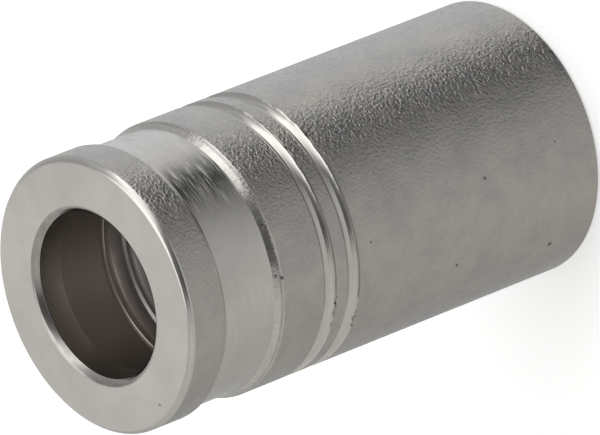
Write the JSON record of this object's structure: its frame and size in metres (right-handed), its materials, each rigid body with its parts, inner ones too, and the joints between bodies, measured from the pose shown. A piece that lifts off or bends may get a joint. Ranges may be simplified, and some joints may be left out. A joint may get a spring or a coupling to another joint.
{
  "type": "crimp hose ferrule",
  "caption": "Turned steel sleeve with a bored lip, ring teeth inside, a waist behind its collar and round marking grooves, crimped over a hose end to hold the insert.",
  "frame": {"origin": "centre of the open hose end, on the face it stands on", "axes": "+Z along the turned axis, from the hose end to the lip"},
  "size_m": [0.03, 0.03, 0.0578],
  "materials": {
    "turned_steel": "plated carbon steel: pebbled grey skin on the full diameter, brighter turned faces, grooves and bores"
  },
  "bodies": {
    "root": {"ferrule": "turned_steel"}
  },
  "joints": []
}
